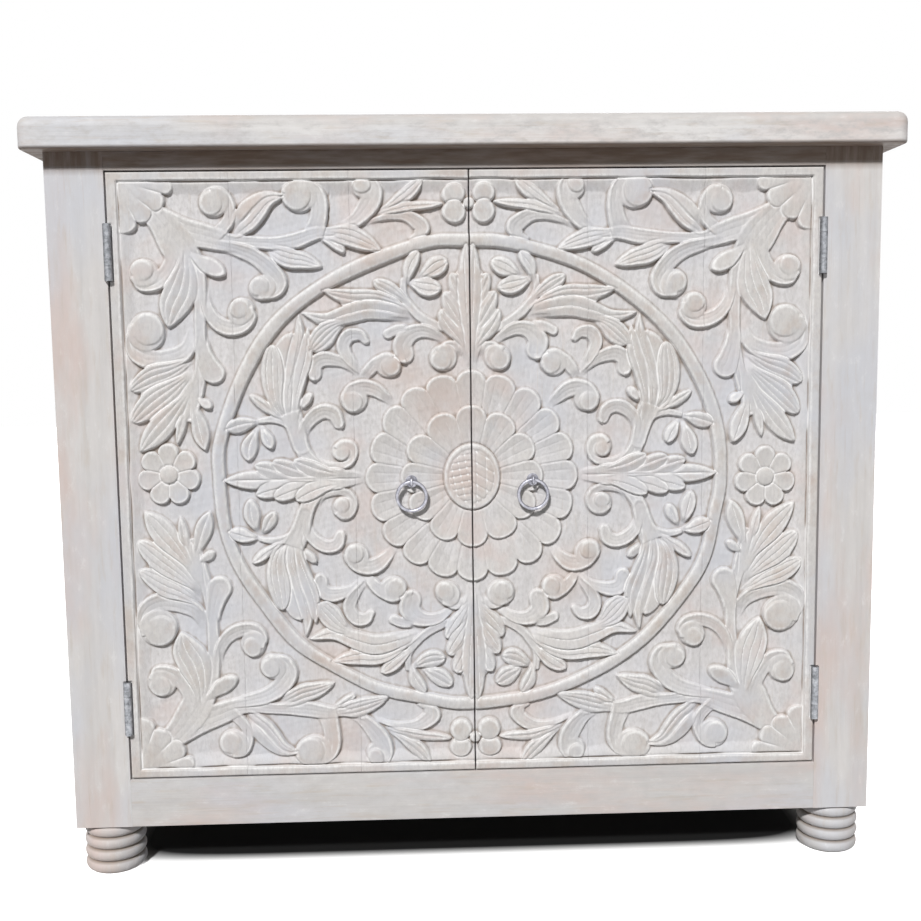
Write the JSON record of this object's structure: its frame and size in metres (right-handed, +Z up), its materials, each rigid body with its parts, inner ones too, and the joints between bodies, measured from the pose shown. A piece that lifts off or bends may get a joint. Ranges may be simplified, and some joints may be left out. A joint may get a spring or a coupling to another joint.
{
  "type": "carved low cabinet",
  "caption": "Low whitewashed wooden cabinet on turned feet, with a pair of hinged carved doors, ring pulls and a shelf inside.",
  "frame": {"origin": "on the floor, below the middle of the top board", "axes": "+X to the right along the front, +Y from the front to the back, +Z up"},
  "size_m": [1, 0.4, 0.885],
  "materials": {
    "frame_wood": "whitewashed, open grain",
    "carved_wood": "whitewashed carving, worn on the high spots",
    "inner_wood": "thin whitewash, grain showing",
    "zinc_hinge": "dull zinc plate",
    "steel_fixing": "plain steel",
    "pull_metal": "nickel, slightly tarnished",
    "catch_plastic": "moulded, brown"
  },
  "bodies": {
    "carcass": {"back_panel": "inner_wood", "bottom_board": "inner_wood", "catch_screws": "steel_fixing", "door_stop": "inner_wood", "foot_bolts": "steel_fixing", "frame_leaf_screws": "steel_fixing", "front_bottom_cleat": "inner_wood", "front_bottom_rail": "frame_wood", "front_left_foot": "frame_wood", "front_left_post": "frame_wood", "front_right_foot": "frame_wood", "front_right_post": "frame_wood", "front_top_rail": "frame_wood", "hinge_pins": "zinc_hinge", "left_bottom_rail": "frame_wood", "left_shelf_cleat": "inner_wood", "left_side_panel": "frame_wood", "left_top_rail": "frame_wood", "lower_left_frame_leaf": "zinc_hinge", "lower_right_frame_leaf": "zinc_hinge", "magnetic_catches": "catch_plastic", "rear_bottom_cleat": "inner_wood", "rear_bottom_rail": "frame_wood", "rear_left_foot": "frame_wood", "rear_left_post": "frame_wood", "rear_right_foot": "frame_wood", "rear_right_post": "frame_wood", "rear_top_rail": "frame_wood", "right_bottom_rail": "frame_wood", "right_shelf_cleat": "inner_wood", "right_side_panel": "frame_wood", "right_top_rail": "frame_wood", "shelf": "inner_wood", "top_board": "frame_wood", "top_screws": "steel_fixing", "upper_left_frame_leaf": "zinc_hinge", "upper_right_frame_leaf": "zinc_hinge"},
    "left_door": {"left_door_panel": "carved_wood", "upper_left_door_leaf": "zinc_hinge", "lower_left_door_leaf": "zinc_hinge", "left_door_leaf_screws": "steel_fixing", "left_catch_strike": "steel_fixing", "left_strike_screw": "steel_fixing", "left_pull_eye": "pull_metal", "left_pull_collar": "pull_metal", "left_pull_washer": "steel_fixing", "left_pull_nut": "steel_fixing"},
    "right_door": {"right_door_panel": "carved_wood", "upper_right_door_leaf": "zinc_hinge", "lower_right_door_leaf": "zinc_hinge", "right_door_leaf_screws": "steel_fixing", "right_catch_strike": "steel_fixing", "right_strike_screw": "steel_fixing", "right_pull_eye": "pull_metal", "right_pull_collar": "pull_metal", "right_pull_washer": "steel_fixing", "right_pull_nut": "steel_fixing"},
    "left_ring": {"left_pull_ring": "pull_metal"},
    "right_ring": {"right_pull_ring": "pull_metal"}
  },
  "joints": [
    {"name": "left_door_swing", "type": "hinge", "parent": "carcass", "child": "left_door", "pos_m": [-0.4097, -0.1785, 0.473], "axis": [0, 0, -1], "range_deg": [0, 180]},
    {"name": "right_door_swing", "type": "hinge", "parent": "carcass", "child": "right_door", "pos_m": [0.4097, -0.1785, 0.473], "axis": [0, 0, 1], "range_deg": [0, 180]},
    {"name": "left_ring_swing", "type": "hinge", "parent": "left_door", "child": "left_ring", "pos_m": [-0.071, -0.181, 0.47], "axis": [-1, 0, 0], "range_deg": [0, 180]},
    {"name": "right_ring_swing", "type": "hinge", "parent": "right_door", "child": "right_ring", "pos_m": [0.071, -0.181, 0.47], "axis": [-1, 0, 0], "range_deg": [0, 180]}
  ]
}
